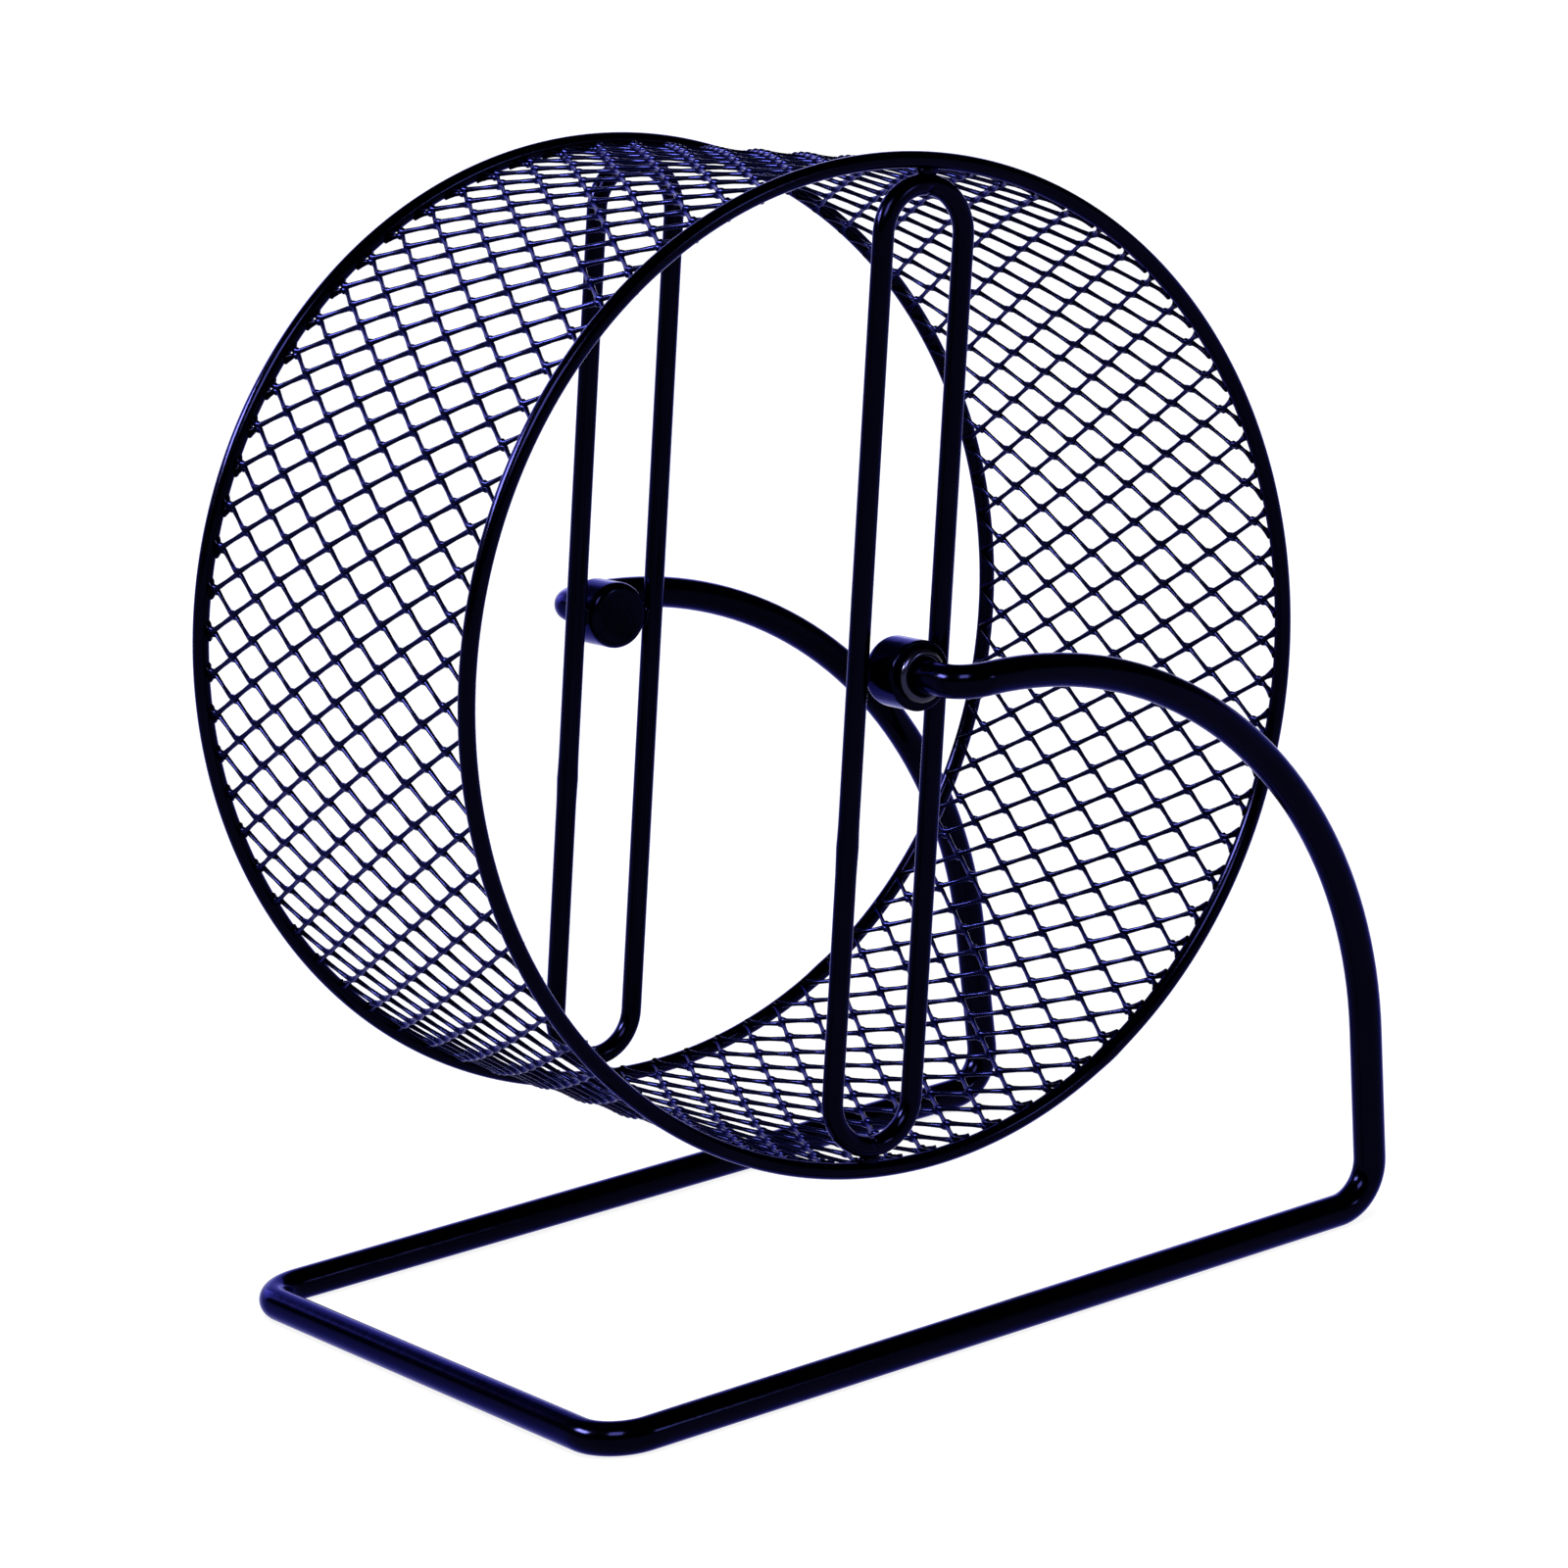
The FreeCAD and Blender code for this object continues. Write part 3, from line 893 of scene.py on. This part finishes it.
@dataclass
class MeshTrack:
    """The running track: a strip of expanded metal rolled into a drum.

    The strip runs round slightly askew, so that its rows drift by half a pitch in a turn. That is why the
    count of strands is odd: the pattern then closes on itself.

    Attributes:
        axle: the wheel's axle.
        strands: strands round the drum.
        half_pitch: from one bond of a strand to the next.
        bond_length: length of a bond.
        bond_step: from the middle of one bonded strand to the other's.
        strand_width: width of a strand's section.
        strand_thickness: thickness of a strand's section.
        strand_round: rounding of its corners.
        knot_swell: how much fatter a strand is at a knot.
        lean: how far strands lean out of the sheet.
        first_row: where the first strand's middle bond is along the axle.
        strip_start: turn of the first strand from the wheel's own top.
        sheet_thickness: thickness of the solid track.
        lap: how far strands go past the solid track, onto the rims.
        tack_swell: how much fatter a strand is at a tack.
        tack_vary: how much that varies either way.
        tack_reach: how far from a strand's end the tack reaches.
        seed: seed of that variation.
    """

    axle: Axle
    strands: int = 147
    half_pitch: float = 7.05 * MM
    bond_length: float = 1.45 * MM
    bond_step: float = 0.8 * MM
    strand_width: float = 0.78 * MM
    strand_thickness: float = 0.68 * MM
    strand_round: float = 0.22 * MM
    knot_swell: float = 0.95
    lean: float = math.radians(38.0)
    first_row: float = 4.62 * MM
    strip_start: float = math.radians(-11.57)
    sheet_thickness: float = 1.0 * MM
    lap: float = 0.9 * MM
    tack_swell: float = 1.5
    tack_vary: float = 0.15
    tack_reach: float = 3.2 * MM
    seed: int = 11

    def build(self, finish: bpy.types.Material) -> None:
        """Rolls the mesh and tacks it to the rims.

        Args:
            finish: the mesh's enamel.
        """
        low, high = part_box("mesh_track")
        radius = (high.z - low.z) / 2 - self.sheet_thickness / 2
        end = high.y + self.lap
        spacing = 2 * math.pi * radius / self.strands
        rows = 2 * math.ceil((end + self.half_pitch) / self.half_pitch)
        sizes = {
            "Radius": radius,
            "Strands": self.strands,
            "Spacing": spacing,
            "Points": BOND_POINTS * rows,
            "End": end,
            "Half Pitch": self.half_pitch,
            "Bond Length": self.bond_length,
            "First Row": self.first_row - self.half_pitch * rows / 2,
            "Swing": (spacing - self.bond_step * math.cos(self.lean)) / 2,
            "Raise": -self.bond_step * math.sin(self.lean) / 2,
            "Lean": -self.lean,
            "Width": self.strand_width,
            "Thickness": self.strand_thickness,
            "Round": self.strand_round,
            "Knot Swell": self.knot_swell,
            "Tack Swell Least": self.tack_swell - self.tack_vary,
            "Tack Swell Most": self.tack_swell + self.tack_vary,
            "Tack Reach": self.tack_reach,
            "Seed": self.seed,
            "Axle": self.axle.middle,
            "Turn": Vector((0, self.axle.rest_angle + self.strip_start, 0)),
            "Finish": finish,
        }
        mesh = grown(self._tree(sizes), sizes)
        Piece("mesh_drum", Body.WHEEL, Slot.MESH, ("mesh_track",)).hand_over(mesh, finish)

    def _tree(self, sizes: dict[str, Any]) -> bpy.types.NodeTree:
        """Draws the tree that makes the sheet flat and rolls it up.

        Args:
            sizes: the tree's inputs, by name.

        Returns:
            The node tree.
        """
        tree, known = new_tree("rolled_expanded_metal", sizes)
        place = add(tree, "ShaderNodeSeparateXYZ", {0: add(tree, "GeometryNodeInputPosition").outputs[0]})
        known.update((axis, place.outputs[axis]) for axis in "XYZ")
        known["Tack Drawn"] = add(tree, "FunctionNodeRandomValue", {
            RANDOM_LEAST: known["Tack Swell Least"], RANDOM_MOST: known["Tack Swell Most"],
            "Seed": known["Seed"]}).outputs[RANDOM_DRAWN]
        for name, operation, *terms in SHEET_SUMS:
            sockets = {i: known[term] if isinstance(term, str) else term for i, term in enumerate(terms)}
            known[name] = add(tree, "ShaderNodeMath", sockets, operation=operation).outputs[0]

        # Every strand starts as a line of numbered points, several to each bond with its neighbours.
        across = add(tree, "ShaderNodeCombineXYZ", {"X": known["Spacing"]})
        strands = add(tree, "GeometryNodeMeshLine", {
            "Count": known["Strands"], "Offset": across.outputs[0]})
        line = add(tree, "GeometryNodeMeshLine", {"Count": known["Points"], "Offset": (0.0, 1.0, 0.0)})
        copies = add(tree, "GeometryNodeInstanceOnPoints", {
            "Points": strands.outputs["Mesh"], "Instance": line.outputs["Mesh"]})
        lines = add(tree, "GeometryNodeRealizeInstances", {"Geometry": copies.outputs["Instances"]})

        # The points go to their places, and those past a rim become one.
        spot = add(tree, "ShaderNodeCombineXYZ", {"X": known["X"], "Y": known["laid"]})
        spread = add(tree, "GeometryNodeSetPosition", {
            "Geometry": lines.outputs["Geometry"], "Position": spot.outputs[0]})
        single = add(tree, "GeometryNodeMergeByDistance", {
            "Geometry": spread.outputs["Geometry"], "Distance": SAME_PLACE})
        curves = add(tree, "GeometryNodeMeshToCurve", {"Mesh": single.outputs["Geometry"]})
        cut = add(tree, "GeometryNodeSubdivideCurve", {
            "Curve": curves.outputs["Curve"], "Cuts": known["cuts"]})

        # Each strand gets its swellings, its painted shade next to the rims, its lean and its swing from
        # side to side.
        fattened = add(tree, "GeometryNodeSetCurveRadius", {
            "Curve": cut.outputs["Curve"], "Radius": known["fatness"]})
        rim_shaded = add(tree, "GeometryNodeStoreNamedAttribute", {
            "Geometry": fattened.outputs["Curve"], "Name": RIM_SHADE, "Value": known["painted_rim_shade"]},
            data_type="FLOAT", domain="POINT")
        tilted = add(tree, "GeometryNodeSetCurveTilt", {
            "Curve": rim_shaded.outputs["Geometry"], "Tilt": known["Lean"]})
        bend = add(tree, "ShaderNodeCombineXYZ", {"X": known["sideways"], "Z": known["outwards"]})
        bent = add(tree, "GeometryNodeSetPosition", {
            "Geometry": tilted.outputs["Curve"], "Offset": bend.outputs[0]})

        # A rounded section makes the strands solid.
        box = add(tree, "GeometryNodeCurvePrimitiveQuadrilateral", {
            "Width": known["Width"], "Height": known["Thickness"]}, mode="RECTANGLE")
        section = add(tree, "GeometryNodeFilletCurve", {
            "Curve": box.outputs["Curve"], "Count": 1, "Radius": known["Round"]}, mode="POLY")
        sheet = add(tree, "GeometryNodeCurveToMesh", {
            "Curve": bent.outputs["Geometry"], "Profile Curve": section.outputs["Curve"],
            "Scale": add(tree, "GeometryNodeInputRadius").outputs[0], "Fill Caps": True})

        # The flat strip is rolled round the axle and dressed.
        spot = add(tree, "ShaderNodeCombineXYZ", {
            "X": known["rolled x"], "Y": known["Y"], "Z": known["rolled z"]})
        rolled = add(tree, "GeometryNodeSetPosition", {
            "Geometry": sheet.outputs["Mesh"], "Position": spot.outputs[0]})
        hung = add(tree, "GeometryNodeTransform", {
            "Geometry": rolled.outputs["Geometry"],
            "Translation": known["Axle"], "Rotation": known["Turn"]})
        smooth = add(tree, "GeometryNodeSetShadeSmooth", {"Geometry": hung.outputs["Geometry"]})
        whole = add(tree, "GeometryNodeRealizeInstances", {"Geometry": smooth.outputs["Geometry"]})
        dressed = add(tree, "GeometryNodeSetMaterial", {
            "Geometry": whole.outputs["Geometry"], "Material": known["Finish"]})
        add(tree, "NodeGroupOutput", {0: dressed.outputs["Geometry"]})
        return tree


@dataclass(frozen=True)
class Lamp:
    """A rectangular studio lamp that looks at the object and shows in its gloss alone.

    Attributes:
        name: the lamp's name.
        azimuth: turn from the front towards +X, in degrees.
        elevation: angle above the floor, in degrees.
        distance: metres from the object.
        width: metres across.
        height: metres up.
        radiance: how bright its face is in a mirror, where 1 is white.
        colour: the light's colour.
    """

    name: str
    azimuth: float
    elevation: float
    distance: float
    width: float
    height: float
    radiance: float
    colour: str = "#ffffff"

    def build(self, target: Vector) -> None:
        """Hangs the lamp.

        Args:
            target: the point it looks at.
        """
        data = bpy.data.lights.new(self.name, "AREA")
        data.shape = "RECTANGLE"
        data.size = self.width
        data.size_y = self.height
        data.energy = self.radiance * math.pi * self.width * self.height
        data.color = linear(self.colour)[:3]
        lamp = put(self.name, data)
        away = direction(math.radians(self.azimuth), math.radians(self.elevation))
        lamp.location = target + away * self.distance
        lamp.rotation_euler = away.to_track_quat("Z", "Y").to_euler()
        lamp.visible_camera = False
        lamp.visible_diffuse = False


@dataclass
class Studio:
    """White floor, a room with a white wall and a dark ceiling, lamps, and the photograph's camera.

    Attributes:
        floor_half: half of the floor's side.
        floor_colour: what the floor sends back of the light that falls on it.
        floor_glow: what it adds to that for the camera and for mirrors.
        room_light: light of the room on what is matt.
        wall_top: height of the white wall, as an angle.
        wall_fade: how far above that it has faded into the ceiling.
        ceiling: brightness of the ceiling.
        sky_strength: light from overhead on what is matt.
        sky_width: how wide that light is, which softens the shadow.
        sky_azimuth: where it comes from, as a turn from the front.
        sky_elevation: where it comes from, as an angle above the floor.
        eye_azimuth: the camera's turn from the front.
        eye_elevation: the camera's angle above the floor.
        eye_roll: the camera's roll.
        eye_distance: from the camera to its target.
        eye_target: the point in the middle of the picture.
        lens: focal length in millimetres.
        sensor: sensor width in millimetres.
        lamps: the lamps that show in the gloss.
    """

    floor_half: float = 30.0
    floor_colour: str = "#8f8f8f"
    floor_glow: float = 0.88
    room_light: float = 0.4
    wall_top: float = math.radians(9.0)
    wall_fade: float = math.radians(5.0)
    ceiling: float = 0.04
    sky_strength: float = 2.0
    sky_width: float = math.radians(36.0)
    sky_azimuth: float = math.radians(-40.0)
    sky_elevation: float = math.radians(70.0)
    eye_azimuth: float = math.radians(-34.731)
    eye_elevation: float = math.radians(13.029)
    eye_roll: float = math.radians(-4.77)
    eye_distance: float = 0.9458
    eye_target: Vector = Vector((3.72, 0.0, 91.58)) * MM
    lens: float = 118.94
    sensor: float = 36.0
    # Name, azimuth and elevation, distance, width and height, radiance, colour.
    lamps: tuple[Lamp, ...] = (
        Lamp("back_wall", 165.0, 18.0, 2.2, 3.0, 1.0, 1.4, "#e0e0ff"),
        Lamp("key_left", -48.0, 46.0, 1.4, 0.45, 0.45, 50.0, "#f0f0ff"),
        Lamp("fill_right", 26.0, 17.0, 1.5, 0.15, 0.2, 40.0, "#e8f4ff"),
        Lamp("rear_left", -118.0, 37.0, 1.3, 0.5, 0.26, 240.0),
        Lamp("back_left", -173.0, 21.0, 2.2, 0.95, 0.7, 2.8),
    )

    def build(self) -> None:
        """Sets up the floor, the light and the camera."""
        bpy.context.scene.view_settings.view_transform = "Standard"
        self._floor()
        self._light()
        self._camera()

    def _floor(self) -> None:
        """Lays the floor, which keeps the object's shadow and is white to the camera and to mirrors."""
        half = self.floor_half
        corners = ((-half, -half), (half, -half), (half, half), (-half, half))
        made = bmesh.new()
        made.faces.new([made.verts.new((x, y, 0)) for x, y in corners])
        floor = put("floor", to_mesh(made))
        # Matt card has no mirror of its own: the eye gets an even white and a soft shadow.
        card = bpy.data.materials.new("matt white card")
        card.use_nodes = True
        tree = card.node_tree
        tree.nodes.remove(tree.nodes["Principled BSDF"])
        path = add(tree, "ShaderNodeLightPath").outputs
        seen = path["Is Camera Ray"]
        for ray in ("Is Glossy Ray", "Is Transmission Ray"):
            seen = add(tree, "ShaderNodeMath", {0: seen, 1: path[ray]}, operation="MAXIMUM").outputs[0]
        share = add(tree, "ShaderNodeMath", {0: seen, 1: self.floor_glow}, operation="MULTIPLY")
        matt = add(tree, "ShaderNodeBsdfDiffuse", {"Color": linear(self.floor_colour)})
        glow = add(tree, "ShaderNodeEmission", {"Strength": share.outputs[0]})
        both = add(tree, "ShaderNodeAddShader", {0: matt.outputs[0], 1: glow.outputs[0]})
        tree.links.new(both.outputs[0], tree.nodes["Material Output"].inputs["Surface"])
        floor.data.materials.append(card)

    def _light(self) -> None:
        """Makes the room, a low white wall and a dark ceiling to mirrors, and hangs the lights."""
        world = bpy.data.worlds.new("room")
        world.use_nodes = True
        tree = world.node_tree
        way = add(tree, "ShaderNodeSeparateXYZ", {0: add(tree, "ShaderNodeTexCoord").outputs["Generated"]})
        wall = add(tree, "ShaderNodeMapRange", {
            "Value": way.outputs["Z"],
            "From Min": math.sin(self.wall_top),
            "From Max": math.sin(self.wall_top + self.wall_fade),
            "To Min": 1.0,
            "To Max": self.ceiling,
        })
        on_matt = add(tree, "ShaderNodeLightPath").outputs["Is Diffuse Ray"]
        matt = add(tree, "ShaderNodeMath", {0: on_matt, 1: self.room_light}, operation="MULTIPLY")
        light = add(tree, "ShaderNodeMath", {
            0: wall.outputs["Result"], 1: matt.outputs[0]}, operation="MAXIMUM")
        background = tree.nodes["Background"]
        background.inputs["Color"].default_value = (1.0, 1.0, 1.0, 1.0)
        tree.links.new(light.outputs[0], background.inputs["Strength"])
        bpy.context.scene.world = world
        data = bpy.data.lights.new("overhead", "SUN")
        data.energy = self.sky_strength
        data.angle = self.sky_width
        overhead = put("overhead", data)
        overhead.visible_glossy = False
        away = direction(self.sky_azimuth, self.sky_elevation)
        overhead.rotation_euler = away.to_track_quat("Z", "Y").to_euler()
        for lamp in self.lamps:
            lamp.build(self.eye_target)

    def _camera(self) -> None:
        """Stands the camera where the photograph was taken from, rolled as it was held."""
        back = direction(self.eye_azimuth, self.eye_elevation)
        right = Vector((math.cos(self.eye_azimuth), math.sin(self.eye_azimuth), 0.0))
        level = Matrix((right, back.cross(right), back)).transposed()
        turned = level @ Matrix.Rotation(self.eye_roll, 3, "Z")
        data = bpy.data.cameras.new("camera")
        data.sensor_width = self.sensor
        data.lens = self.lens
        camera = put("camera", data)
        eye = self.eye_target + back * self.eye_distance
        camera.matrix_world = Matrix.Translation(eye) @ turned.to_4x4()
        bpy.context.scene.camera = camera


def main() -> None:
    """Builds every piece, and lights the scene."""
    logging.basicConfig(level=logging.INFO, format="%(message)s")
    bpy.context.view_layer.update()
    axle = Axle(Vector(frame["joints"][0]["pos_m"]))
    coats = {slot: finish.build() for slot, finish in FINISHES.items()}
    StandRod(axle).build(coats[Slot.STAND])
    MeshTrack(axle).build(coats[Slot.MESH])
    for side in Side:
        Rim(axle, side).build(coats[Slot.WIRE])
        SpokeLoop(axle, side).build(coats[Slot.WIRE])
        Hub(axle, side).build(coats[Slot.HUB], coats[Slot.BUSH])
        Welds(axle, side).build(coats[Slot.WELD])
    Studio().build()


if __name__ == "__main__":
    main()
